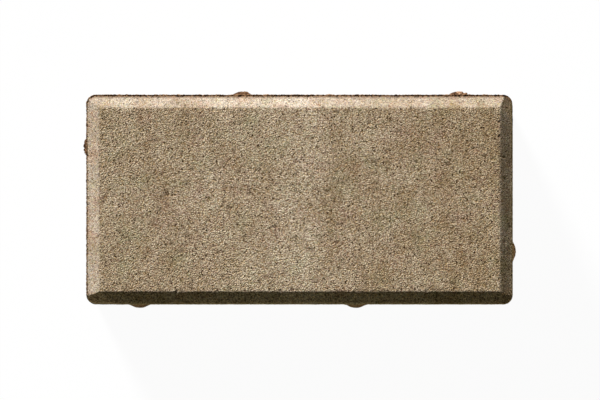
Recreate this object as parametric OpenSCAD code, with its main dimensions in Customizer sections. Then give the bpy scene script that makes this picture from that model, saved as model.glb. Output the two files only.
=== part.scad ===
// Rectangular paving stone with a chamfered wearing face and spacer nibs.
// The bed face lies on z = 0, the length runs along x and the wearing face looks up.

/* [Stone] */
// Length between the end faces, without the nibs
stone_length = 197; // [170:1:300]
// Width between the long faces, without the nibs
stone_width = 97; // [70:1:200]
// Height from the bed face to the wearing face
stone_height = 60; // [40:1:120]
// Radius of the upright corners
corner_radius = 4.5; // [2:0.5:12]

/* [Top edge] */
// Level rim between the side faces and the foot of the chamfer
rim_width = 1; // [0.2:0.1:1.8]
// Level distance that the chamfer covers
chamfer_run = 5; // [1:0.5:12]
// Height that the chamfer covers
chamfer_drop = 3.5; // [1:0.5:12]

/* [Spacer nibs] */
// Distance that a nib stands out from its face
nib_reach = 1.7; // [0.5:0.1:4]
// Width over which a nib swells out of its face
nib_width = 13.5; // [8:0.5:20]
// Distance from the rim down to the top of a nib
nib_drop = 5; // [2:0.5:20]
// Height over which a nib's top slopes back to its face
nib_slope = 3; // [1:0.5:12]
// Spacing of the two nibs on a long face
nib_pitch = 100; // [40:1:120]
// Distance of that pair's middle from the middle of the long face
nib_shift = 24; // [0:1:36]
// Distance of the nib on an end face from the middle of that face
end_nib_shift = 24; // [0:1:36]

/* [Hidden] */
$fn = 96;
stone_colour = [0.61, 0.54, 0.44];
rim_level = stone_height - chamfer_drop;
nib_top = rim_level - nib_drop;
// Depth to which a nib is bedded in the body
nib_bed = 3;
// A nib's outline is made of equal arcs: one round its tip and a hollow one at each foot
nib_arc = (pow(nib_width / 4, 2) + pow(nib_reach / 2, 2)) / nib_reach;
// The side of each corner along x and along y, and its turn from the first
corners = [[1, 1, 0], [-1, 1, 90], [-1, -1, 180], [1, -1, 270]];

// Upright section across the stone, with a rim and a chamfer at both sides
module cross_section(width) {
    side = width / 2;
    foot = side - rim_width;
    crest = foot - chamfer_run;
    polygon([
        [-side, 0],
        [side, 0],
        [side, rim_level],
        [foot, rim_level],
        [crest, stone_height],
        [-crest, stone_height],
        [-foot, rim_level],
        [-side, rim_level]
    ]);
}

// The lengthwise and the crosswise section meet in mitred chamfers
module mitred_block() {
    intersection() {
        rotate([90, 0, 90])
            linear_extrude(stone_length, center = true)
                cross_section(stone_width);
        rotate([90, 0, 0])
            linear_extrude(stone_width, center = true)
                cross_section(stone_length);
    }
}

// Puts a shape that fills the first quadrant into each corner of the stone
module in_corners() {
    for (corner = corners) {
        x = corner[0] * (stone_length / 2 - corner_radius);
        y = corner[1] * (stone_width / 2 - corner_radius);
        translate([x, y, 0])
            rotate(corner[2])
                children();
    }
}

// Quarter turn of the edge section, which carries rim and chamfer round a corner
module corner_post() {
    foot = corner_radius - rim_width;
    crest = max(foot - chamfer_run, 0);
    crest_level = rim_level + chamfer_drop * (foot - crest) / chamfer_run;
    rotate_extrude(angle = 90)
        polygon([
            [0, 0],
            [corner_radius, 0],
            [corner_radius, rim_level],
            [foot, rim_level],
            [crest, crest_level],
            if (crest > 0) [0, crest_level]
        ]);
}

module body() {
    difference() {
        mitred_block();
        in_corners()
            cube([corner_radius, corner_radius, stone_height]);
    }
    in_corners()
        corner_post();
}

// Plan of a nib on a face that runs along x, swelling out towards +y
module nib_plan() {
    difference() {
        translate([-nib_width / 2, -nib_bed])
            square([nib_width, nib_bed + nib_reach / 2]);
        for (side = [-1, 1])
            translate([side * nib_width / 2, nib_arc])
                circle(nib_arc);
    }
    intersection() {
        translate([0, nib_reach - nib_arc])
            circle(nib_arc);
        translate([-nib_width / 4, nib_reach / 2])
            square([nib_width / 2, nib_reach / 2]);
    }
}

// A nib stands on the bed level and slopes back to its face at the top
module nib() {
    intersection() {
        linear_extrude(nib_top)
            nib_plan();
        rotate([90, 0, 90])
            linear_extrude(nib_width, center = true)
                polygon([
                    [-nib_bed, 0],
                    [nib_reach, 0],
                    [nib_reach, nib_top - nib_slope],
                    [0, nib_top],
                    [-nib_bed, nib_top]
                ]);
    }
}

// One long face and one end face with their nibs
module half_of_nibs() {
    for (end = [-1, 1])
        translate([nib_shift + end * nib_pitch / 2, stone_width / 2, 0])
            nib();
    translate([-stone_length / 2, end_nib_shift, 0])
        rotate(90)
            nib();
}

module paving_stone() {
    color(stone_colour) {
        body();
        for (turn = [0, 180])
            rotate(turn)
                half_of_nibs();
    }
}

paving_stone();
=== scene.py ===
import math
from collections import namedtuple

import bpy
import numpy as np
from bpy.props import FloatProperty, FloatVectorProperty, IntProperty, PointerProperty
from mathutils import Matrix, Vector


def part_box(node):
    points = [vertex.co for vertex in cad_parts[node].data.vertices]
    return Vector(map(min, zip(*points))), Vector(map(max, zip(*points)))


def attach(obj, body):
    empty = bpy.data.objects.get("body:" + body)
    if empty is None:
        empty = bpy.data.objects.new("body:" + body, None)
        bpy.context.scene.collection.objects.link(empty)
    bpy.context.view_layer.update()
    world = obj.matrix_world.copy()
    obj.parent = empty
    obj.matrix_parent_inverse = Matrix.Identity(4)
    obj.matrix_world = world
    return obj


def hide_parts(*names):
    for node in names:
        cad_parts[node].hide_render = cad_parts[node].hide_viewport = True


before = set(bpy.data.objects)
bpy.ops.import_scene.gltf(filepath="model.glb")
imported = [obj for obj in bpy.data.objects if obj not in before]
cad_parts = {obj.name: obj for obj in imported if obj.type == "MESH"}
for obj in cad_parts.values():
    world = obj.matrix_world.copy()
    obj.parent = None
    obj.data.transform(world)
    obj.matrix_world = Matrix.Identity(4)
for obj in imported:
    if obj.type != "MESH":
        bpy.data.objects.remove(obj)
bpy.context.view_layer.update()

bl_info = {
    "name": "Paving stone",
    "version": (1, 0, 0),
    "blender": (4, 5, 0),
    "location": "3D View > Sidebar > Paving stone",
    "description": "Makes a pressed concrete paving stone and the studio table that it lies on",
    "category": "Add Mesh",
}

MM = 0.001
TINY = 1e-9
WHITE = (1.0, 1.0, 1.0)
STONE = "paving_stone"
BODY = "root"
BAKE_MAP = "OFBake"


# Settings


def tint(red, green, blue):
    """A colour given as screen values from 0 to 255, in linear light."""
    shares = (value / 255 for value in (red, green, blue))
    return tuple(s / 12.92 if s <= 0.04045 else ((s + 0.055) / 1.055) ** 2.4 for s in shares)


def number_property(name, description, default, **limits):
    return FloatProperty(name=name, description=description, default=default, **limits)


def size_property(name, description, default):
    return number_property(name, description, default, min=0.0, unit="LENGTH", precision=5)


def angle_property(name, description, degrees):
    return number_property(name, description, math.radians(degrees), subtype="ANGLE", unit="ROTATION")


def share_property(name, description, default):
    return number_property(name, description, default, min=0.0, max=1.0, subtype="FACTOR")


def count_property(name, description, default):
    return IntProperty(name=name, description=description, default=default, min=2)


def triple_property(name, description, default, **limits):
    return FloatVectorProperty(
        name=name, description=description, default=default, size=3, min=0.0, **limits
    )


def colour_property(name, description, default):
    return triple_property(name, description, default, max=1.0, subtype="COLOR")


def gain_property(name, description, default):
    return triple_property(name, description, default, soft_max=2.0)


class StoneShape(bpy.types.PropertyGroup):
    """Sizes of the stone's form and its wear, and of the mesh that carries its surface"""

    corner_radius: size_property("Corner radius", "Radius of the upright corners", 4.5 * MM)
    rim_width: size_property("Rim width", "Level rim outside the foot of the chamfer", 1.0 * MM)
    chamfer_run: size_property("Chamfer run", "Level distance that the chamfer covers", 5.0 * MM)
    chamfer_drop: size_property("Chamfer drop", "Height that the chamfer covers", 3.5 * MM)
    nib_reach: size_property("Nib reach", "Distance that a nib stands out from its face", 1.7 * MM)
    nib_width: size_property("Nib width", "Width over which a nib swells out", 13.5 * MM)
    nib_drop: size_property("Nib drop", "Distance from the rim down to the top of a nib", 5.0 * MM)
    nib_slope: size_property("Nib slope", "Height over which a nib's top slopes back", 3.0 * MM)
    nib_pitch: size_property("Nib pitch", "Spacing of the two nibs on a long face", 100.0 * MM)
    nib_shift: size_property("Nib shift", "Distance of that pair from the face's middle", 24.0 * MM)
    end_nib_shift: size_property("End nib shift", "Distance of an end nib from the middle", 24.0 * MM)
    lower_round: size_property("Lower rounding", "Radius of the worn lower arris", 0.9 * MM)
    crest_round: size_property("Crest rounding", "Half width of the worn chamfer crest", 0.5 * MM)
    crest_wear: size_property("Crest wear", "How far wear has moved the crest inwards", 0.22 * MM)
    arris_round: size_property("Arris rounding", "Wear of the front and right arrises", 1.1 * MM)
    # Painted shade lies on the sides that face the key lamp, to the back and the left; these sides also
    # keep their burr, and the others are worn
    burr_and_shade_turn: angle_property(
        "Weather turn", "Way to the sides that are stained and keep their burr, from +X towards +Y", 115
    )
    burr_and_shade_blend: size_property(
        "Weather blend", "Width of the change between those sides and the others", 8.0 * MM
    )
    # A spot on one back nib is left free of the painted shade, so that it shows the key lamp's light
    rubbed_size: size_property("Rubbed size", "Half width of the spot rubbed clean on a nib", 1.8 * MM)
    knock_slope: angle_property("Knock slope", "Steepness of the knocks on two corners", 47)
    knock_blend: size_property("Knock blend", "Depth at which a knock shows its break", 0.3 * MM)
    cell: size_property("Cell", "Width of a mesh cell along the sides", 0.4 * MM)
    low_rows: count_property("Low rows", "Rows of cells on a side face below the tops of the nibs", 14)
    high_rows: count_property("High rows", "Rows of cells on a side face from there up", 12)
    chamfer_rows: count_property("Chamfer rows", "Rows of cells on the chamfer", 8)


class StoneRelief(bpy.types.PropertyGroup):
    """Heights and widths of the relief that pressing and stripping leave on the stone"""

    seed: IntProperty(name="Seed", description="Picks one stone out of many", default=7)
    grain_size: size_property("Grain size", "Spacing of the sand grains", 1.3 * MM)
    grain_height: size_property("Grain height", "Height of the sand grains", 0.06 * MM)
    crumb_height: size_property("Crumb height", "Height of the crumbs on the side faces", 0.3 * MM)
    sag_size: size_property("Sag size", "Spacing of the soft hollows of the face", 26.0 * MM)
    sag_depth: size_property("Sag depth", "Depth of the soft hollows of the face", 0.14 * MM)
    pit_spacing: size_property("Pit spacing", "Spacing of the open pits in the face", 2.4 * MM)
    pit_depth: size_property("Pit depth", "Depth of the open pits in the face", 0.3 * MM)
    side_size: size_property("Side lump size", "Spacing of the lumps on the side faces", 4.5 * MM)
    side_depth: size_property("Side lump depth", "Depth between the lumps on the side faces", 0.35 * MM)
    drag_width: size_property("Drag width", "Spacing of the upright stripping marks", 1.6 * MM)
    drag_depth: size_property("Drag depth", "Depth of the upright stripping marks", 0.45 * MM)
    burr_size: size_property("Burr size", "Length of the teeth of the burr on the rim", 1.1 * MM)
    burr_height: size_property("Burr height", "Height of the burr on the rim", 0.2 * MM)
    ragged_depth: size_property("Ragged depth", "Depth between the teeth of the outer edge", 0.6 * MM)
    flute_width: size_property("Flute width", "Spacing of the upright flutes down a nib", 1.5 * MM)
    flute_depth: size_property("Flute depth", "Depth of the upright flutes down a nib", 0.6 * MM)
    chip_size: size_property("Chip size", "Length of the chips along the arrises", 5.0 * MM)
    chip_depth: size_property("Chip depth", "Depth of the chips along the arrises", 0.8 * MM)
    break_size: size_property("Break size", "Spacing of the lumps on a knocked corner", 1.8 * MM)
    break_depth: size_property("Break depth", "Depth between those lumps", 0.5 * MM)


class StoneColours(bpy.types.PropertyGroup):
    """Colours of the pressed concrete, and the sizes of the marks that they make"""

    sand: colour_property("Sand", "Main colour of the wearing face", tint(162, 142, 116))
    pale: colour_property("Pale", "Paler patches of the face", tint(181, 163, 138))
    brown: colour_property("Brown", "Darker and browner patches of the face", tint(132, 108, 76))
    # Partly painted sheen: the chamfers' cement skin is paler and bluer, as the lit chamfers look with the
    # key lamp's sheen on them
    laitance_and_sheen: colour_property("Laitance", "Fine cement skin of the chamfer", tint(160, 165, 176))
    pale_grain: colour_property("Pale grain", "Pale sand grains", tint(220, 202, 174))
    dark_grain: colour_property("Dark grain", "Dark sand grains", tint(52, 31, 10))
    red_grain: colour_property("Red grain", "Sand grains with a rusty tint", tint(157, 125, 107))
    grey_grain: colour_property("Grey grain", "Sand grains with a green-grey tint", tint(145, 142, 109))
    # Painted shade inside the pits, pinholes and pores
    pit_shade: colour_property("Pit", "Inside of the pits and pores", tint(50, 28, 4))
    side: colour_property("Side", "Side faces and nibs", tint(155, 122, 97))
    side_dark: colour_property("Side, dark", "Darker patches of the side faces", tint(114, 83, 61))
    # Painted shade: the dark stain darkens the back and left sides, which face the key lamp, and paints
    # the burr's shadow on their rim; paler crumbs break it up
    painted_shade: colour_property("Stain", "Stain of the back and left sides", tint(46, 25, 8))
    crumb: colour_property("Crumb", "Crumbs that stand out of that stain", tint(136, 106, 78))
    # Painted light: a pale colour on the nib at the right end, which lies in shade, and a trace of it high
    # on the other nibs
    lit_nib: colour_property("Rubbed", "Nib at the right end, rubbed pale", tint(222, 172, 138))
    crumb_size: size_property("Crumb size", "Spacing of those crumbs", 1.4 * MM)
    speck_size: size_property("Speck size", "Width of one sand grain's own colour", 0.34 * MM)
    grit_size: size_property("Grit size", "Spacing of the domes of the grit in the skin", 0.6 * MM)
    grit_height: size_property("Grit height", "Height of those domes", 0.3 * MM)
    # Painted highlight and shade on the grit: paler dome tops and darker gaps
    dome_highlight_gain: gain_property("Dome gain", "Change of colour on top of the domes", (1.03, 1.045, 1.085))
    gap_shade_gain: gain_property("Gap gain", "Change of colour between the domes", (0.85, 0.75, 0.59))
    dust_height: size_property("Dust height", "Height of the finest roughness", 0.2 * MM)
    pinhole_spacing: size_property("Pinhole spacing", "Spacing of the pinholes in the face", 1.6 * MM)
    pinhole_depth: size_property("Pinhole depth", "Depth of the pinholes in the face", 0.3 * MM)
    pore_spacing: size_property("Pore spacing", "Spacing of the pores in the side faces", 2.0 * MM)
    pore_depth: size_property("Pore depth", "Depth of the pores in the side faces", 0.6 * MM)
    patch_size: size_property("Patch size", "Width of the soft patches of colour", 8.0 * MM)
    band_half: size_property("Band half", "Half the width of the pale band across the middle", 16.0 * MM)
    # Lengths of the painted light down the right nib, and of the crumbly painted shade down the back and
    # left nibs
    lit_nib_length: size_property("Rubbed length", "How far down the right nib is rubbed", 30.0 * MM)
    crumbly_length: size_property("Crumbly length", "How far down the stained nibs are crumbly", 8.0 * MM)
    roughness: share_property("Roughness", "Mattness of the dry concrete", 0.85)


class StageLook(bpy.types.PropertyGroup):
    """Camera, lamps and table"""

    lens: number_property("Lens", "Focal length of the camera", 300.0, subtype="DISTANCE_CAMERA")
    sensor: number_property("Sensor", "Width of the camera's sensor", 36.0, subtype="DISTANCE_CAMERA")
    picture_reach: size_property("Picture reach", "Width of the view at the rim", 276.9 * MM)
    aim_x: number_property("Aim x", "Middle of the view along the stone", 0.2 * MM, unit="LENGTH")
    aim_y: number_property("Aim y", "Middle of the view across the stone", -0.18 * MM, unit="LENGTH")
    key_turn: angle_property("Key turn", "Way to the key lamp, from +X towards +Y", 117)
    key_rise: angle_property("Key rise", "Height of the key lamp above the horizon", 21.5)
    key_spread: angle_property("Key spread", "Width of the key lamp as the stone sees it", 10)
    key_level: number_property("Key level", "Light of the key lamp on a level face, 1 being full", 0.97)
    sky_level: number_property("Sky level", "Light of the room on a level face", 0.035)
    sky: colour_property("Sky", "Colour of the room's light", (1.0, 0.95, 0.46))
    table: colour_property("Table", "Colour of the table", (0.95, 0.95, 0.95))
    table_shade: share_property("Table shade", "How much of a shadow the table shows", 0.04)
    table_glow: share_property("Table glow", "Light that the table sends up by itself", 0.6)
    glow: colour_property("Glow", "Colour of that light", (1.0, 0.93, 0.48))
    table_half: size_property("Table half", "Half of the table's width", 6.0)


SETTINGS = {
    "stone_shape": StoneShape,
    "stone_relief": StoneRelief,
    "stone_colours": StoneColours,
    "stone_stage": StageLook,
}


# Form of the stone

Side = namedtuple("Side", "along out half away nibs")
Station = namedtuple("Station", "inset level finish")
Knock = namedtuple("Knock", "corner turn")

# The back right and the front left corner have been knocked
KNOCKS = (Knock((1, 1), math.radians(15)), Knock((-1, -1), math.radians(255)))

# Sink of a knock's plane for each length below the rim, so that the side faces keep their rows apart
KNOCK_SINK = 0.25

# Inset at which the edge begins on the bed and the nibs have faded out, in radii of the lower arris
BED_INSET = 4.0

# Insets of the burr's two rings on the rim, and of the shallow groove inside them
BURR_OUTER = 0.06 * MM
BURR_INNER = 0.30 * MM
GROOVE_INSET = 0.52 * MM
GROOVE_END = 0.78 * MM
GROOVE_DEPTH = 0.05 * MM

# Shares that each point of the mesh carries, for its relief and its colour
FINISHES = (
    "wearing", "chamfer", "bed", "rim", "burr", "edge",
    "arris", "crest", "lower", "broken", "weather", "nib",
)


def body_size():
    """Length, width and height of the block, without its nibs."""
    low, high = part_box(STONE)
    reach = bpy.context.scene.stone_shape.nib_reach
    return high.x - low.x - 2 * reach, high.y - low.y - 2 * reach, high.z - low.z


def nib_tip(shape):
    """Level up to which the nibs stand out by their full reach."""
    _, _, height = body_size()
    return height - shape.chamfer_drop - shape.nib_drop - shape.nib_slope


def stone_sides(shape):
    """The side faces in turn, from the front one to the left: directions, sizes and nib places."""
    length, width, _ = body_size()
    long_nibs = [-shape.nib_shift - shape.nib_pitch / 2, -shape.nib_shift + shape.nib_pitch / 2]
    end_nibs = [-shape.end_nib_shift]
    return [
        Side((1, 0), (0, -1), length / 2, width / 2, long_nibs),
        Side((0, 1), (1, 0), width / 2, length / 2, end_nibs),
        Side((-1, 0), (0, 1), length / 2, width / 2, long_nibs),
        Side((0, -1), (-1, 0), width / 2, length / 2, end_nibs),
    ]


def nib_swell(shape, place, level):
    """How far a nib stands out of its face, at a distance from its middle and at a level."""
    arc = ((shape.nib_width / 4) ** 2 + (shape.nib_reach / 2) ** 2) / shape.nib_reach
    off = np.minimum(np.abs(place), shape.nib_width / 2)
    tip = shape.nib_reach - arc + np.sqrt(np.maximum(arc**2 - off**2, 0))
    foot = arc - np.sqrt(np.maximum(arc**2 - (shape.nib_width / 2 - off) ** 2, 0))
    swell = np.where(off < shape.nib_width / 4, tip, foot)
    top = nib_tip(shape) + shape.nib_slope
    slope = np.clip((top - level) / shape.nib_slope, 0, 1)
    return np.minimum(swell, shape.nib_reach * slope)


def ring(shape, counts, inset, level):
    """Points round the stone at an inset from its sides and at a level, in equal steps on each side."""
    points = []
    for side, count in zip(stone_sides(shape), counts):
        bend = max(shape.corner_radius - inset, 0.0)
        straight = side.half - max(shape.corner_radius, inset)
        end = straight + bend * math.pi / 4
        run = np.linspace(-end, end, count + 1)[:-1]
        turn = np.maximum(np.abs(run) - straight, 0) / max(bend, TINY)
        place = np.sign(run) * (np.minimum(np.abs(run), straight) + bend * np.sin(turn))
        depth = inset + bend * (1 - np.cos(turn))
        fade = max(1 - inset / (BED_INSET * shape.lower_round), 0.0)
        for nib in side.nibs:
            depth = depth - fade * nib_swell(shape, place - nib, level)
        flat = np.outer(place, side.along) + np.outer(side.away - depth, side.out)
        points.append(np.column_stack([flat, np.full(count, level)]))
    return np.concatenate(points)


def knock_corners(shape, points):
    """Lowers points that stand above the planes that knocks have left on two corners of the top."""
    length, width, height = body_size()
    rim = height - shape.chamfer_drop
    crest = shape.rim_width + shape.chamfer_run
    steepness = math.tan(shape.knock_slope)
    level = points[:, 2]
    for knock in KNOCKS:
        start = np.multiply(knock.corner, (length / 2 - crest, width / 2 - crest))
        way = (math.cos(knock.turn), math.sin(knock.turn))
        fall = (points[:, :2] - start) @ way * steepness
        level = np.minimum(level, height - fall - KNOCK_SINK * np.maximum(rim - level, 0))
    return np.column_stack([points[:, :2], level])


def burr_and_shade_sides(shape, points):
    """1 on the sides that keep their burr and carry painted shade, 0 on the worn ones and on a lit spot of
    one back nib.
    """
    _, width, _ = body_size()
    way = (math.cos(shape.burr_and_shade_turn), math.sin(shape.burr_and_shade_turn))
    share = np.clip(0.5 + points[:, :2] @ way / shape.burr_and_shade_blend, 0, 1)
    lit_nib = (shape.nib_shift + shape.nib_pitch / 2, width / 2 + shape.nib_reach, nib_tip(shape))
    off = (points - lit_nib) / (shape.rubbed_size, shape.rubbed_size, 2 * shape.rubbed_size)
    return share * (1 - np.exp(-(off**2).sum(axis=1)))


def unshaded_rim(shape, points, inset):
    """How much of a ring is left out of the painted shadow at the left, where that shadow covers only the
    outer part of the rim.
    """
    length, width, _ = body_size()
    at_left = -points[:, 0] - length / 2 > np.abs(points[:, 1]) - width / 2
    return np.where(at_left, np.clip(2 * inset / shape.rim_width - 0.6, 0, 1), 0)


def standing(shape, points):
    """How far points stand out of the block's side faces, as a share of a nib's reach."""
    length, width, _ = body_size()
    out = np.abs(points[:, :2]) - (length / 2, width / 2)
    return np.clip(out.max(axis=1) / shape.nib_reach, 0, 1)


def finish(**shares):
    return [shares.get(name, 0.0) for name in FINISHES]


def stations(shape):
    """The section of the stone's edge, from the bed to the wearing face, with the finish at each point."""
    _, _, height = body_size()
    rim = height - shape.chamfer_drop
    foot = shape.rim_width
    crest = foot + shape.chamfer_run + shape.crest_wear
    slope = shape.chamfer_drop / (crest - foot)
    lower = shape.lower_round
    found = [
        Station(BED_INSET * lower, 0.0, finish(bed=1.0)),
        Station(1.6 * lower, 0.0, finish(bed=1.0, lower=0.4)),
    ]
    for turn in (0.0, 30.0, 60.0, 90.0):
        angle = math.radians(turn)
        inset = lower * (1 - math.sin(angle))
        level = lower * (1 - math.cos(angle))
        found.append(Station(inset, level, finish(bed=1 - turn / 90, lower=1.0)))

    # The side faces, up to where the wear of the arris begins
    tip = nib_tip(shape)
    low_rows = np.linspace(lower, tip, shape.low_rows + 1)[1:]
    high_rows = np.linspace(tip, rim - 1.5 * shape.arris_round, shape.high_rows + 1)[1:]
    found += [Station(0.0, level, finish()) for level in (*low_rows, *high_rows[:-1])]

    # The rim, with its burr outside and a shallow groove inside that
    found += [
        Station(0.0, high_rows[-1], finish(edge=1.0, rim=0.5)),
        Station(BURR_OUTER, rim, finish(burr=1.0, edge=1.0, rim=1.0, arris=1.0)),
        Station(BURR_INNER, rim, finish(burr=0.9, edge=0.7, rim=1.0, arris=0.6)),
        Station(GROOVE_INSET, rim - GROOVE_DEPTH, finish(rim=1.0, arris=0.32)),
        Station(GROOVE_END, rim, finish(rim=1.0, arris=0.18)),
    ]

    # The finish of the rim fades out over the first sixth of the chamfer
    for part in np.linspace(0, 1, shape.chamfer_rows + 1)[:-1]:
        inset = foot + part * (crest - foot - shape.crest_round)
        near = max(0.0, 1 - part * 6)
        shares = finish(wearing=1 - 0.85 * near, chamfer=1.0, rim=near, arris=0.055 * near)
        found.append(Station(inset, rim + slope * (inset - foot), shares))
    dip = slope * shape.crest_round
    found += [
        Station(crest - shape.crest_round, height - dip, finish(wearing=1.0, chamfer=1.0, crest=0.5)),
        Station(crest, height - dip / 4, finish(wearing=1.0, chamfer=0.5, crest=1.0)),
        Station(crest + shape.crest_round, height, finish(wearing=1.0, crest=0.5)),
    ]
    return found


class Blank:
    """The stone's mesh before its relief: points, finishes, faces and the map of each face's corners."""

    def __init__(self):
        self.points, self.finishes, self.faces, self.corners = [], [], [], []
        self.count = 0

    def add(self, points, shares, **own):
        """Adds points that share one finish, apart from shares of each point's own, and numbers them."""
        numbers = np.arange(self.count, self.count + len(points))
        rows = np.tile(shares, (len(points), 1))
        for name, values in own.items():
            rows[:, FINISHES.index(name)] = values
        self.points.append(points)
        self.finishes.append(rows)
        self.count += len(points)
        return numbers

    def face(self, numbers, places):
        """Adds faces, given as rows of point numbers and of places on the map."""
        self.faces += numbers.tolist()
        self.corners.append(np.asarray(places).reshape(-1, 2))

    def mesh(self, name):
        """The mesh of all that was added, with its finishes as attributes."""
        made = bpy.data.meshes.new(name)
        made.from_pydata(np.concatenate(self.points).tolist(), [], self.faces)
        finishes = np.concatenate(self.finishes).astype(np.float32)
        for index, finish_name in enumerate(FINISHES):
            layer = made.attributes.new(finish_name, "FLOAT", "POINT")
            layer.data.foreach_set("value", np.ascontiguousarray(finishes[:, index]))
        chart = made.uv_layers.new(name=BAKE_MAP)
        chart.data.foreach_set("uv", np.concatenate(self.corners).astype(np.float32).ravel())
        made.polygons.foreach_set("use_smooth", np.ones(len(made.polygons), bool))
        made.update()
        return made


class Chart:
    """Places on the bake map: the top, the bed turned upright beside it, and the sides in rows below."""

    margin = 3 * MM

    # Row and column of the front, right, back and left side
    slots = ((0, 0), (2, 0), (1, 0), (2, 1))

    def __init__(self):
        length, width, height = body_size()
        self.top = (length / 2 + self.margin, width / 2 + self.margin)
        self.bed = (length + width / 2 + 3 * self.margin, length / 2 + self.margin)
        self.size = length + width + 4 * self.margin
        self.first_row = width + 2 * self.margin
        self.row_height = height + self.margin
        self.column_width = width + self.margin

    def from_above(self, points):
        return (points[..., :2] + self.top) / self.size

    def from_below(self, points):
        return (points[..., 1::-1] + self.bed) / self.size

    def on_side(self, number, run, rise):
        row, column = self.slots[number]
        low = self.first_row + row * self.row_height
        return np.stack([column * self.column_width + run, low + rise], axis=-1) / self.size


def side_places(shape, chart, counts, low, high):
    """Places on the map of one row of side cells, between two heights, each side face lying flat."""
    found = []
    for number, (side, count) in enumerate(zip(stone_sides(shape), counts)):
        full = 2 * (side.half - shape.corner_radius) + shape.corner_radius * math.pi / 2
        run = np.linspace(0, full, count + 1)
        corners = [(run[:-1], low), (run[1:], low), (run[1:], high), (run[:-1], high)]
        places = [chart.on_side(number, along, np.full(count, rise)) for along, rise in corners]
        found.append(np.stack(places, axis=1))
    return np.concatenate(found)


def strip(lower, upper):
    """Rows of the four corners between two closed rings, the lower ring first."""
    return np.stack([lower, np.roll(lower, -1, 0), np.roll(upper, -1, 0), upper], axis=1)


def grid_numbers(border, inner, counts):
    """Point numbers of a filled rectangle, from its closed border and its inner points."""
    across, deep = counts
    numbers = np.empty((across + 1, deep + 1), int)
    numbers[1:-1, 1:-1] = inner.reshape(across - 1, deep - 1)
    front, right, back, left = np.split(border, [across, across + deep, 2 * across + deep])
    numbers[:-1, 0] = front
    numbers[-1, :-1] = right
    numbers[1:, -1] = back[::-1]
    numbers[0, 1:] = left[::-1]
    return numbers


def grid_faces(numbers):
    rows = [numbers[:-1, :-1], numbers[1:, :-1], numbers[1:, 1:], numbers[:-1, 1:]]
    return np.stack(rows, axis=-1).reshape(-1, 4)


def inner_points(border, counts):
    """Even points inside a level rectangle whose border is given."""
    across, deep = counts
    xs = np.linspace(border[:, 0].min(), border[:, 0].max(), across + 1)[1:-1]
    ys = np.linspace(border[:, 1].min(), border[:, 1].max(), deep + 1)[1:-1]
    flat = np.stack(np.meshgrid(xs, ys, indexing="ij"), axis=-1).reshape(-1, 2)
    return np.column_stack([flat, np.full(len(flat), border[0, 2])])


def cover(blank, shape, fine, counts, insets, level, shares, to_map):
    """Closes a ring at the top or the bed with rings of half as many points each, and a grid inside."""
    faces = []
    for inset in insets:
        counts = tuple(count // 2 for count in counts)
        border = ring(shape, counts, inset, level)
        coarse = blank.add(border, shares)
        after, middle, last = np.roll(coarse, -1), fine[1::2], np.roll(fine[::2], -1)
        for corners in ((after, coarse, middle), (last, after, middle), (coarse, fine[::2], middle)):
            faces.append(np.column_stack(corners))
        fine = coarse
    inside = blank.add(inner_points(border, counts[:2]), shares)
    faces.append(grid_faces(grid_numbers(fine, inside, counts[:2])))
    places = np.concatenate(blank.points)
    for rows in faces:
        rows = rows if level > 0 else rows[:, ::-1]
        blank.face(rows, to_map(places[rows]))


def stone_blank(shape):
    """The stone with its wear, in cells fine enough to carry the relief."""
    length, width, height = body_size()
    section = stations(shape)
    inset = section[-1].inset
    across = 4 * round((length / 2 - inset) / shape.cell / 2)
    deep = 4 * round((width / 2 - inset) / shape.cell / 2)
    counts = (across, deep, across, deep)
    blank = Blank()
    numbers = []
    for station in section:
        whole = ring(shape, counts, station.inset, station.level)
        points = knock_corners(shape, whole)
        wearing = station.finish[FINISHES.index("wearing")]
        added = blank.add(
            points,
            station.finish,
            broken=np.clip((whole - points)[:, 2] / shape.knock_blend, 0, 1),
            wearing=np.maximum(wearing, unshaded_rim(shape, points, station.inset)),
            weather=burr_and_shade_sides(shape, points),
            nib=standing(shape, points),
        )
        numbers.append(added)

    # Rims and chamfers are unrolled on the map, so that upright faces keep their width there
    chart = Chart()
    steps = [math.hypot(b.inset - a.inset, b.level - a.level) for a, b in zip(section, section[1:])]
    lengths = np.concatenate([[0], np.cumsum(steps)])
    upright = [index for index, station in enumerate(section) if station.inset < TINY]
    rises = lengths - lengths[upright[0]]
    for index in range(len(section) - 1):
        faces = strip(numbers[index], numbers[index + 1])
        if upright[0] <= index < upright[-1]:
            blank.face(faces, side_places(shape, chart, counts, rises[index], rises[index + 1]))
            continue
        from_top = index >= upright[-1]
        fixed = len(section) - 1 if from_top else 0
        unrolled = [
            ring(shape, counts, section[fixed].inset - abs(lengths[fixed] - lengths[i]), height)
            for i in (index, index + 1)
        ]
        flat = strip(*unrolled)
        blank.face(faces, chart.from_above(flat) if from_top else chart.from_below(flat))

    # The cells double in width inwards from ring to ring
    top_insets = (inset + 2 * shape.cell,)
    bed_inset = max(2 * section[0].inset, shape.corner_radius)
    bed_insets = (bed_inset, bed_inset + 4 * shape.cell)
    cover(blank, shape, numbers[-1], counts, top_insets, height, finish(wearing=1.0), chart.from_above)
    cover(blank, shape, numbers[0], counts, bed_insets, 0.0, finish(bed=1.0), chart.from_below)
    return blank.mesh(STONE)


# Node graphs

Noise = namedtuple("Noise", "detail roughness")
SOFT = Noise(2.0, 0.5)
DUSTY = Noise(2.0, 0.6)
SPECKLED = Noise(2.0, 0.7)
LUMPY = Noise(3.0, 0.6)
CRUMBLY = Noise(3.0, 0.65)
CRAGGY = Noise(4.0, 0.6)
JAGGED = Noise(4.0, 0.7)

# Share of the cells that hold a spot, its radius in cell widths, and how ragged it is
Spots = namedtuple("Spots", "share radius bends")
PITS = Spots(0.16, 0.36, 0.0)
PINHOLES = Spots(0.42, 0.28, 0.4)


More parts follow.
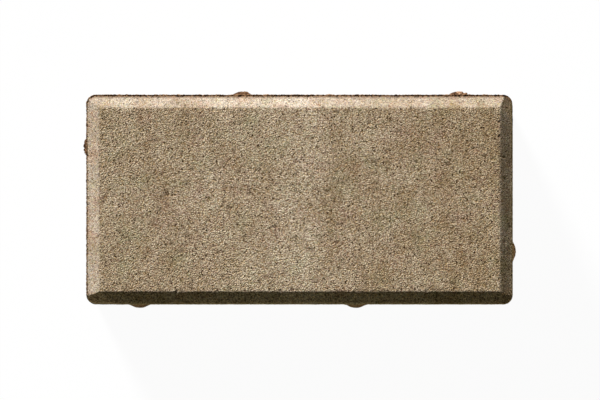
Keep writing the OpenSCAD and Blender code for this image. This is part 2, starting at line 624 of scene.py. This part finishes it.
class Graph:
    """Adds nodes to a tree, with their inputs set or linked."""

    def __init__(self, tree):
        self.tree = tree

    def add(self, kind, inputs=None, **settings):
        """Adds a node of a kind, and returns it."""
        node = self.tree.nodes.new(kind)
        for name, value in settings.items():
            setattr(node, name, value)
        for key, value in (inputs or {}).items():
            self.put(node.inputs[key], value)
        return node

    def put(self, socket, value):
        """Links a socket to another node's output, or sets it."""
        if isinstance(value, bpy.types.NodeSocket):
            self.tree.links.new(value, socket)
        else:
            socket.default_value = value

    def math(self, operation, first, second=0.0, third=0.0):
        inputs = {0: first, 1: second, 2: third}
        return self.add("ShaderNodeMath", inputs, operation=operation).outputs[0]

    def total(self, *values):
        found = values[0]
        for value in values[1:]:
            found = self.math("ADD", found, value)
        return found

    def times(self, *values):
        found = values[0]
        for value in values[1:]:
            found = self.math("MULTIPLY", found, value)
        return found

    def line(self, value, slope, start):
        return self.math("MULTIPLY_ADD", value, slope, start)

    def rest(self, share):
        """What a share leaves of 1."""
        return self.math("SUBTRACT", 1.0, share)

    def most(self, first, second):
        return self.math("MAXIMUM", first, second)

    def ramp(self, value, low, high, to_low=0.0, to_high=1.0):
        """Carries a value from one range into another in a soft curve, held at both ends."""
        inputs = {"Value": value, 1: low, 2: high, 3: to_low, 4: to_high}
        return self.add("ShaderNodeMapRange", inputs, interpolation_type="SMOOTHSTEP").outputs[0]

    def noise(self, place, size, kind=SOFT):
        """Noise from 0 to 1 whose lumps are about a size apart."""
        scale = self.math("DIVIDE", 1.0, size)
        inputs = {"Vector": place, "Scale": scale, "Detail": kind.detail, "Roughness": kind.roughness}
        return self.add("ShaderNodeTexNoise", inputs).outputs[0]

    def cells(self, place, size):
        """Distance from the nearest of scattered points, in cell widths, and each cell's own number."""
        scale = self.math("DIVIDE", 1.0, size)
        node = self.add("ShaderNodeTexVoronoi", {"Vector": place, "Scale": scale})
        own = self.add("ShaderNodeSeparateXYZ", {0: node.outputs["Color"]})
        return node.outputs["Distance"], own.outputs[0]

    def spots(self, place, size, kind):
        """Spots from 0 to 1, in some of the cells of a size."""
        distance, own = self.cells(place, size)
        if kind.bends:
            bends = self.math("SUBTRACT", self.noise(place, size * 0.4), 0.5)
            distance = self.line(bends, kind.bends, distance)
        chosen = self.math("LESS_THAN", own, kind.share)
        return self.times(chosen, self.ramp(distance, kind.radius, kind.radius / 2))

    def stretch(self, place, x=1.0, y=1.0, z=1.0):
        """A place whose axes are multiplied, which stretches a pattern along those below 1."""
        inputs = {0: place, 1: (x, y, z)}
        return self.add("ShaderNodeVectorMath", inputs, operation="MULTIPLY").outputs[0]

    def mix(self, share, first, second, blend="MIX"):
        node = self.add("ShaderNodeMix", data_type="RGBA", blend_type=blend)
        colours = [socket for socket in node.inputs if socket.type == "RGBA"]
        self.put(node.inputs[0], share)
        for socket, value in zip(colours, (first, second)):
            self.put(socket, value if isinstance(value, bpy.types.NodeSocket) else (*value, 1.0))
        return next(socket for socket in node.outputs if socket.type == "RGBA")

    def multiply(self, share, ground, gains):
        """A ground that is multiplied by gains, by a share."""
        return self.mix(share, ground, self.mix(1.0, ground, gains, "MULTIPLY"))


def shader_graph(owner):
    """The empty node graph of a material or a world."""
    owner.use_nodes = True
    owner.node_tree.nodes.clear()
    return Graph(owner.node_tree)


# Relief of the stone

RELIEF_SIZES = [name for name in StoneRelief.__annotations__ if name != "seed"]
SHAPE_SIZES = ["arris_round"]

# Share of a nib's reach from which a point counts as the nib's own
NIB_EDGE = 0.4

# Shares of the relief that are missing on the chamfer, the nibs and the rim
CHAMFER_CALM = 0.45
NIB_CALM = 0.8
NIB_CRUMB_CALM = 0.5
RIM_CALM = 0.8

# Height of the ridges on a nib's flanks, as a share of the depth of its flutes
RIDGE_SHARE = 0.6

# Shares of the lumps on the bed, the chips on the crest and the teeth on the worn arrises
BED_LUMPS = 1.5
CREST_CHIPS = 0.2
WORN_TEETH = 0.2


def relief_tree(material):
    """Geometry nodes that press grain, pits, stripping marks and burr into the blank."""
    tree = bpy.data.node_groups.new("stone relief", "GeometryNodeTree")
    tree.interface.new_socket("Geometry", in_out="INPUT", socket_type="NodeSocketGeometry")
    tree.interface.new_socket("Geometry", in_out="OUTPUT", socket_type="NodeSocketGeometry")
    for name in RELIEF_SIZES + SHAPE_SIZES:
        tree.interface.new_socket(name, in_out="INPUT", socket_type="NodeSocketFloat")
    tree.interface.new_socket("seed", in_out="INPUT", socket_type="NodeSocketInt")
    graph = Graph(tree)
    given = graph.add("NodeGroupInput").outputs
    here = graph.add("GeometryNodeInputPosition").outputs[0]
    normal = graph.add("GeometryNodeInputNormal").outputs[0]
    place = graph.add("ShaderNodeVectorMath", {0: here, 1: given["seed"]}, operation="ADD").outputs[0]
    share = {
        name: graph.add("GeometryNodeInputNamedAttribute", {"Name": name}, data_type="FLOAT").outputs[0]
        for name in FINISHES
    }
    worn = graph.rest(share["weather"])
    other = graph.total(share["wearing"], share["bed"], graph.times(share["rim"], worn))
    side = graph.most(graph.rest(other), 0.0)

    # Wearing face: sand grains, soft hollows and open pits, calmer on the chamfer
    grain = graph.noise(place, given["grain_size"], CRUMBLY)
    sag = graph.noise(place, given["sag_size"])
    pits = graph.spots(place, given["pit_spacing"], PITS)
    face = graph.total(
        graph.times(grain, given["grain_height"]),
        graph.times(sag, given["sag_depth"]),
        graph.times(pits, given["pit_depth"]),
    )
    face = graph.times(face, share["wearing"], graph.line(share["chamfer"], -CHAMFER_CALM, 1.0))

    # Side and bed faces: lumps, crumbs and the upright marks of stripping
    lumps = graph.ramp(graph.noise(place, given["side_size"], CRAGGY), 0.45, 0.8)
    drag = graph.noise(graph.stretch(place, z=0.03), given["drag_width"], LUMPY)
    rough = graph.times(lumps, given["side_depth"])
    dragged = graph.times(graph.ramp(drag, 0.45, 0.75), given["drag_depth"])
    crumbs = graph.times(graph.ramp(grain, 0.45, 0.75), given["crumb_height"])
    bed = graph.times(rough, share["bed"], BED_LUMPS)

    # Nibs: upright flutes, with ridges between them on the flanks
    flutes = graph.noise(graph.stretch(place, z=0.004), given["flute_width"], CRUMBLY)
    flutes = graph.ramp(flutes, 0.46, 0.62)
    ridges = graph.times(graph.rest(flutes), graph.rest(share["nib"]), RIDGE_SHARE)
    waves = graph.math("SUBTRACT", flutes, ridges)
    on_nib = graph.ramp(share["nib"], 0.0, NIB_EDGE)
    fluted = graph.times(waves, on_nib, share["weather"], given["flute_depth"])
    broad = graph.times(graph.total(rough, dragged), graph.line(on_nib, -NIB_CALM, 1.0))
    fine = graph.times(crumbs, graph.line(share["nib"], -NIB_CRUMB_CALM, 1.0))
    off_rim = graph.line(share["rim"], -RIM_CALM, 1.0)
    walls = graph.times(graph.total(broad, fine, fluted), side, off_rim)

    # Chips along the crest and the lower arris
    chips = graph.ramp(graph.noise(place, given["chip_size"], LUMPY), 0.5, 0.75)
    edges = graph.total(graph.times(share["crest"], CREST_CHIPS), share["lower"])
    chipped = graph.times(chips, edges, given["chip_depth"])

    # Knocked corners are rough
    lumpy = graph.noise(place, given["break_size"], CRUMBLY)
    knocked = graph.times(lumpy, share["broken"], given["break_depth"])

    # The outer edge is ragged and carries a burr to the back and the left, and is worn elsewhere
    teeth = graph.ramp(graph.noise(place, given["burr_size"], JAGGED), 0.3, 0.7)
    fresh = graph.line(share["weather"], 1.0 - WORN_TEETH, WORN_TEETH)
    ragged = graph.times(
        graph.math("SUBTRACT", 0.5, teeth),
        share["edge"],
        fresh,
        given["ragged_depth"],
        graph.rest(share["broken"]),
    )
    raised = graph.times(teeth, share["burr"], share["weather"], given["burr_height"])
    lowered = graph.total(knocked, graph.times(share["arris"], worn, given["arris_round"]))

    inward = graph.times(graph.total(face, walls, bed, chipped, ragged), -1.0)
    pressed = graph.add("ShaderNodeVectorMath", {0: normal, "Scale": inward}, operation="SCALE").outputs[0]
    upward = graph.math("SUBTRACT", raised, lowered)
    burr = graph.add("ShaderNodeCombineXYZ", {"Z": upward}).outputs[0]
    shift = graph.add("ShaderNodeVectorMath", {0: pressed, 1: burr}, operation="ADD").outputs[0]

    # The material reads where the pits are
    hollow = graph.times(pits, share["wearing"])
    stored = graph.add(
        "GeometryNodeStoreNamedAttribute",
        {"Geometry": given["Geometry"], "Name": "hollow", "Value": hollow},
        data_type="FLOAT",
        domain="POINT",
    )
    moved = graph.add("GeometryNodeSetPosition", {"Geometry": stored.outputs[0], "Offset": shift})
    real = graph.add("GeometryNodeRealizeInstances", {"Geometry": moved.outputs[0]})
    finished = graph.add("GeometryNodeSetMaterial", {"Geometry": real.outputs[0], "Material": material})
    graph.add("NodeGroupOutput", {0: finished.outputs[0]})
    return tree


def apply_relief(piece, shape, relief, material):
    """Gives the piece its relief as plain mesh."""
    tree = relief_tree(material)
    modifier = piece.modifiers.new("relief", "NODES")
    modifier.node_group = tree
    for item in tree.interface.items_tree:
        if item.in_out == "INPUT" and item.socket_type != "NodeSocketGeometry":
            owner = shape if item.name in SHAPE_SIZES else relief
            modifier[item.identifier] = getattr(owner, item.name)
    evaluated = bpy.context.evaluated_depsgraph_get()
    carved = bpy.data.meshes.new_from_object(
        piece.evaluated_get(evaluated), preserve_all_data_layers=True, depsgraph=evaluated
    )
    piece.modifiers.remove(modifier)
    blank = piece.data
    piece.data = carved
    bpy.data.meshes.remove(blank)
    carved.name = piece.name


# Material of the stone

Marks = namedtuple("Marks", "place along aside level wearing chamfer rim broken weather nib hollow")

# Tones of the face, from 0 to the pale colour at 1 and the brown one at -1
PATCH_TONE = 2.5
BAND_TONE = 0.5
SHOULDER_TONE = 0.18
END_TONE = -0.32

# Shares of the colours that lie over the ground
LAITANCE_AND_SHEEN_SHARE = 0.3
BREAK_AND_SHADE_SHARE = 0.45
RIM_SHARE = 0.5
WIDE_TINT = 0.65
SMALL_TINT = 0.85
PIT_SHADE = 0.6
OPENING_SHADE = 0.95

# How far the patches of the mix bend the border of the stain
BORDER_BENDS = 0.6

# Share of the painted light on the upper parts of the nibs, and on the nib at the right end, which lies in
# shade
LIT_NIB_SHARE = 0.1
LIT_NIB_END_SHARE = 0.6

# The painted shade is broken by paler crumbs, more sharply on the rim and at the tops of the nibs
CRUMB_MIDDLE = 0.56
CRUMB_SPREAD = 0.25
CRUMB_SPREAD_TOP = 0.03
RIM_CRUMBS = 0.11
PAINTED_SHADE_SHARE = 0.55
PAINTED_SHADE_SHARE_TOP = 0.9

# Contrast of the sand grains on the sides and the face, and its change over the chamfer; the stronger
# contrast on the front chamfer, which lies in shade, paints the light and shade of grains that catch the
# key lamp
SIDE_GRAINS = 0.45
FACE_GRAINS = 0.78
CHAMFER_GRAINS = -0.25
FRONT_GRAIN_GLINTS = 0.2

# Shares of the pinholes and the grit's domes that are missing on the chamfer
CHAMFER_PINHOLES = 0.4
CHAMFER_DOMES = 0.48


def gain(colour, ground):
    """What a ground is multiplied by to give a colour."""
    return tuple(c / g for c, g in zip(colour, ground))


def read_marks(graph):
    """What the concrete goes by at a point: its place, and the shares that the mesh carries there."""
    place = graph.add("ShaderNodeTexCoord").outputs["Object"]
    axes = graph.add("ShaderNodeSeparateXYZ", {0: place}).outputs
    carried = (
        graph.add("ShaderNodeAttribute", attribute_name=name).outputs["Fac"] for name in Marks._fields[4:]
    )
    return Marks(place, axes["X"], axes["Y"], axes["Z"], *carried)


def patch_gains(graph, at, colours, patch):
    """Gains of the soft patches of the mix, with a paler band across the middle and a browner end."""
    length, _, _ = body_size()
    half = colours.band_half
    wobble = graph.math("SUBTRACT", graph.noise(at.place, colours.patch_size * 3), 0.5)
    across = graph.math("ABSOLUTE", graph.line(wobble, 2 * half, at.along))
    band = graph.ramp(across, half * 1.2, 0.0, 0.0, BAND_TONE)
    shoulder = graph.times(
        graph.ramp(at.along, -4 * half, -2 * half, 0.0, SHOULDER_TONE), graph.ramp(at.along, half, 0.0)
    )
    end = graph.ramp(at.along, half, length / 2, 0.0, END_TONE)
    tone = graph.total(graph.line(patch, PATCH_TONE, -PATCH_TONE / 2), band, shoulder, end)
    gains = graph.mix(graph.most(tone, 0.0), WHITE, gain(colours.pale, colours.sand))
    darker = graph.most(graph.times(tone, -1.0), 0.0)
    return graph.mix(darker, gains, gain(colours.brown, colours.sand))


def side_colour(graph, at, colours, shape, painted_shade):
    """Side faces with stripping marks, painted light on the nib at the right end, and crumbly painted
    shade to the back and the left.
    """
    length, _, _ = body_size()
    tip = nib_tip(shape)
    lumps = graph.noise(at.place, colours.patch_size * 0.4, LUMPY)
    streaks = graph.noise(graph.stretch(at.place, z=0.06), colours.patch_size * 0.3, LUMPY)
    marked = graph.ramp(graph.total(lumps, streaks), 0.8, 1.3)
    side = graph.mix(marked, colours.side, colours.side_dark)
    on_nib = graph.ramp(at.nib, 0.0, NIB_EDGE)
    # Painted light on the nib at the right end, which lies in shade, and a little on the other nibs
    at_right = graph.ramp(at.along, length / 2 - MM, length / 2, LIT_NIB_SHARE, LIT_NIB_END_SHARE)
    high = graph.ramp(at.level, tip - colours.lit_nib_length, tip)
    side = graph.mix(graph.times(on_nib, high, at_right), side, colours.lit_nib)

    crumbs = graph.noise(graph.stretch(at.place, z=0.35), colours.crumb_size, CRUMBLY)
    crumbs = graph.line(at.rim, RIM_CRUMBS, crumbs)
    high = graph.ramp(at.level, tip - colours.crumbly_length, tip)
    top = graph.most(at.rim, graph.times(on_nib, high))
    spread = graph.line(top, CRUMB_SPREAD_TOP - CRUMB_SPREAD, CRUMB_SPREAD)
    standing_out = graph.ramp(
        crumbs, graph.math("SUBTRACT", CRUMB_MIDDLE, spread), graph.math("ADD", CRUMB_MIDDLE, spread)
    )
    painted_shade_mix = graph.mix(standing_out, colours.painted_shade, colours.crumb)
    cover_share = graph.line(top, PAINTED_SHADE_SHARE_TOP - PAINTED_SHADE_SHARE, PAINTED_SHADE_SHARE)
    return graph.mix(graph.times(painted_shade, cover_share), side, painted_shade_mix)


def face_colour(graph, at, colours, rim_out_of_shade):
    """The wearing face, with cement skin and a painted sheen on its chamfer, rough breaks partly darkened
    as painted shade, and a pale rim.
    """
    # Cement skin on all chamfers, paler and bluer to paint the sheen of the lit ones
    face = graph.mix(graph.times(at.chamfer, LAITANCE_AND_SHEEN_SHARE), colours.sand, colours.laitance_and_sheen)
    # The knocked corners are darkened, partly as broken concrete and partly as painted shade
    face = graph.mix(graph.times(at.broken, BREAK_AND_SHADE_SHARE), face, colours.side_dark)
    return graph.mix(graph.times(rim_out_of_shade, RIM_SHARE), face, colours.pale_grain)


def tinted(graph, colours, ground, noise, *shares):
    """A ground with the sand's rusty and green-grey tints, on either side of a noise's middle."""
    ground = graph.mix(graph.times(graph.ramp(noise, 0.5, 0.75), *shares), ground, colours.red_grain)
    return graph.mix(graph.times(graph.ramp(noise, 0.5, 0.25), *shares), ground, colours.grey_grain)


def sand_grains(graph, at, colours, shape, ground, skin, painted_shade_side):
    """A ground with the tints of the sand in wide and in small patches, and each grain's own colour."""
    _, width, _ = body_size()
    wide = graph.noise(graph.stretch(at.place, x=-1.0), colours.patch_size * 1.4, LUMPY)
    ground = tinted(graph, colours, ground, wide, skin, WIDE_TINT)
    small = graph.noise(at.place, colours.speck_size * 4, SPECKLED)
    ground = tinted(graph, colours, ground, small, at.wearing, SMALL_TINT)
    _, own = graph.cells(at.place, colours.speck_size)
    crest = width / 2 - shape.rim_width - shape.chamfer_run
    # On the front chamfer the grains get more contrast, as painted light and shade
    chamfer_grains_and_glints = graph.ramp(at.aside, -crest, -crest - MM, CHAMFER_GRAINS, FRONT_GRAIN_GLINTS)
    contrast = graph.total(
        graph.line(skin, FACE_GRAINS - SIDE_GRAINS, SIDE_GRAINS), graph.times(at.chamfer, chamfer_grains_and_glints)
    )
    pale = graph.times(graph.ramp(own, 0.45, 1.0), contrast, graph.rest(painted_shade_side))
    ground = graph.mix(pale, ground, colours.pale_grain)
    return graph.mix(graph.times(graph.ramp(own, 0.45, 0.0), contrast), ground, colours.dark_grain)


def concrete_material(colours, shape):
    """Dry pressed concrete: sandy and in soft patches on the face, browner and more open on the sides."""
    material = bpy.data.materials.new("pressed concrete")
    graph = shader_graph(material)
    at = read_marks(graph)

    # Painted shade darkens the sides to the back and the left, which face the key lamp, with a ragged
    # border; on their rim it paints the burr's shadow
    patch = graph.noise(graph.stretch(at.place, y=0.6), colours.patch_size, LUMPY)
    border = graph.line(patch, BORDER_BENDS, graph.math("SUBTRACT", at.weather, BORDER_BENDS / 2))
    painted_shade = graph.ramp(border, 0.35, 0.65)
    rim_out_of_shade = graph.times(at.rim, graph.rest(painted_shade))
    skin = graph.most(at.wearing, rim_out_of_shade)
    side_share = graph.rest(skin)

    side = side_colour(graph, at, colours, shape, painted_shade)
    ground = graph.mix(skin, side, face_colour(graph, at, colours, rim_out_of_shade))
    painted_shade_side = graph.times(painted_shade, side_share)
    ground = sand_grains(graph, at, colours, shape, ground, skin, painted_shade_side)
    ground = graph.multiply(skin, ground, patch_gains(graph, at, colours, patch))

    # Painted highlight and shade: the domes of the grit are paler on top, and darker and browner in the
    # gaps between them, where shade falls
    off_dome, _ = graph.cells(at.place, colours.grit_size)
    dome_light_and_shade = graph.mix(graph.ramp(off_dome, 0.5, 0.2), WHITE, colours.dome_highlight_gain)
    dome_light_and_shade = graph.mix(graph.ramp(off_dome, 0.5, 0.8), dome_light_and_shade, colours.gap_shade_gain)
    ground = graph.multiply(skin, ground, dome_light_and_shade)

    # Painted shade: pits, pinholes and pores are darkened inside, where shade falls
    pinholes = graph.times(
        graph.spots(at.place, colours.pinhole_spacing, PINHOLES),
        at.wearing,
        graph.line(at.chamfer, -CHAMFER_PINHOLES, 1.0),
    )
    pores = graph.ramp(graph.noise(at.place, colours.pore_spacing, LUMPY), 0.58, 0.7)
    pores = graph.times(pores, side_share)
    dark = graph.most(graph.most(pinholes, pores), graph.times(at.hollow, PIT_SHADE))
    ground = graph.mix(graph.times(dark, OPENING_SHADE), ground, colours.pit_shade)

    # Relief below the size of a mesh cell
    dust = graph.noise(at.place, colours.speck_size * 1.2, DUSTY)
    relief = graph.total(
        graph.times(dust, colours.dust_height),
        graph.times(off_dome, graph.line(at.chamfer, CHAMFER_DOMES, -1.0), colours.grit_height),
        graph.times(pinholes, -colours.pinhole_depth),
        graph.times(pores, -colours.pore_depth),
    )
    bump = graph.add("ShaderNodeBump", {"Strength": 1.0, "Distance": 1.0, "Height": relief})
    shader = graph.add(
        "ShaderNodeBsdfPrincipled",
        {
            "Base Color": ground,
            "Roughness": graph.ramp(dust, 0.2, 0.8, colours.roughness - 0.08, colours.roughness + 0.1),
            "Specular IOR Level": 0.04,
            "Normal": bump.outputs[0],
        },
    )
    graph.add("ShaderNodeOutputMaterial", {"Surface": shader.outputs[0]})
    return material


class STONE_OT_paving_stone(bpy.types.Operator):
    """Make the paving stone with its relief and its concrete"""

    bl_idname = "stone.paving_stone"
    bl_label = "Make paving stone"

    def execute(self, context):
        scene = context.scene
        piece = bpy.data.objects.new("pressed_stone", stone_blank(scene.stone_shape))
        scene.collection.objects.link(piece)
        material = concrete_material(scene.stone_colours, scene.stone_shape)
        apply_relief(piece, scene.stone_shape, scene.stone_relief, material)
        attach(piece, BODY)
        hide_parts(STONE)
        return {"FINISHED"}


# Stage


def seen_directly(graph):
    """1 for rays that show a surface in the picture, in a mirror or through glass."""
    rays = graph.add("ShaderNodeLightPath").outputs
    seen = graph.most(rays["Is Camera Ray"], rays["Is Glossy Ray"])
    return graph.most(seen, rays["Is Transmission Ray"])


def table_material(look):
    """A white table that shows a faint shadow and throws back plain light."""
    material = bpy.data.materials.new("white table")
    graph = shader_graph(material)
    matt = graph.add("ShaderNodeBsdfDiffuse", {"Color": (*look.table, 1.0)}).outputs[0]
    seen = seen_directly(graph)
    colour = graph.mix(seen, look.glow, WHITE)
    white = graph.add("ShaderNodeEmission", {"Color": colour, "Strength": 1.0}).outputs[0]
    share = graph.ramp(seen, 0.0, 1.0, look.table_glow, 1.0 - look.table_shade)
    mixed = graph.add("ShaderNodeMixShader", {0: share, 1: matt, 2: white}).outputs[0]
    graph.add("ShaderNodeOutputMaterial", {"Surface": mixed})
    return material


def room_light(look):
    """White room in the picture, and a weak even light on the stone."""
    world = bpy.data.worlds.new("room")
    graph = shader_graph(world)
    dim = tuple(look.sky_level * value for value in look.sky)
    colour = graph.mix(seen_directly(graph), dim, WHITE)
    background = graph.add("ShaderNodeBackground", {"Color": colour, "Strength": 1.0})
    graph.add("ShaderNodeOutputWorld", {"Surface": background.outputs[0]})
    return world


def key_lamp(scene, look):
    """A far lamp to the back and the left, low above the horizon."""
    lamp = bpy.data.lights.new("key", "SUN")
    lamp.angle = look.key_spread
    lamp.energy = math.pi * look.key_level / math.sin(look.key_rise)
    key = bpy.data.objects.new("key", lamp)
    key.rotation_euler = (math.pi / 2 - look.key_rise, 0.0, look.key_turn + math.pi / 2)
    scene.collection.objects.link(key)


def stage_camera(scene, look):
    """A long lens straight above the stone, with the stone's length across the picture."""
    camera = bpy.data.cameras.new("camera")
    camera.lens = look.lens
    camera.sensor_width = look.sensor
    above = look.picture_reach * look.lens / look.sensor
    _, _, height = body_size()
    holder = bpy.data.objects.new("camera", camera)
    holder.location = (look.aim_x, look.aim_y, height - scene.stone_shape.chamfer_drop + above)
    camera.clip_end = 2 * above
    scene.collection.objects.link(holder)
    scene.camera = holder


def table_top(scene, look):
    """The table that the stone lies on."""
    half = look.table_half
    mesh = bpy.data.meshes.new("table")
    corners = [(-half, -half, 0), (half, -half, 0), (half, half, 0), (-half, half, 0)]
    mesh.from_pydata(corners, [], [(0, 1, 2, 3)])
    mesh.materials.append(table_material(look))
    table = bpy.data.objects.new("table", mesh)
    scene.collection.objects.link(table)


class STONE_OT_stage(bpy.types.Operator):
    """Set up the camera, the lamps and the table"""

    bl_idname = "stone.stage"
    bl_label = "Set stage"

    def execute(self, context):
        scene = context.scene
        look = scene.stone_stage
        scene.view_settings.view_transform = "Standard"
        stage_camera(scene, look)
        table_top(scene, look)
        key_lamp(scene, look)
        scene.world = room_light(look)
        return {"FINISHED"}


class STONE_PT_panel(bpy.types.Panel):
    """Sizes and colours of the paving stone and its stage"""

    bl_idname = "STONE_PT_panel"
    bl_label = "Paving stone"
    bl_space_type = "VIEW_3D"
    bl_region_type = "UI"
    bl_category = "Paving stone"

    def draw(self, context):
        for operator in OPERATORS:
            self.layout.operator(operator.bl_idname)
        for name, group in SETTINGS.items():
            box = self.layout.box()
            box.label(text=group.__doc__)
            for field in group.__annotations__:
                box.prop(getattr(context.scene, name), field)


OPERATORS = (STONE_OT_paving_stone, STONE_OT_stage)
CLASSES = (*SETTINGS.values(), *OPERATORS, STONE_PT_panel)


def register():
    for kind in CLASSES:
        bpy.utils.register_class(kind)
    for name, group in SETTINGS.items():
        setattr(bpy.types.Scene, name, PointerProperty(type=group))


def unregister():
    for name in SETTINGS:
        delattr(bpy.types.Scene, name)
    for kind in reversed(CLASSES):
        bpy.utils.unregister_class(kind)


def main():
    register()
    bpy.ops.stone.paving_stone()
    bpy.ops.stone.stage()


if __name__ == "__main__":
    main()
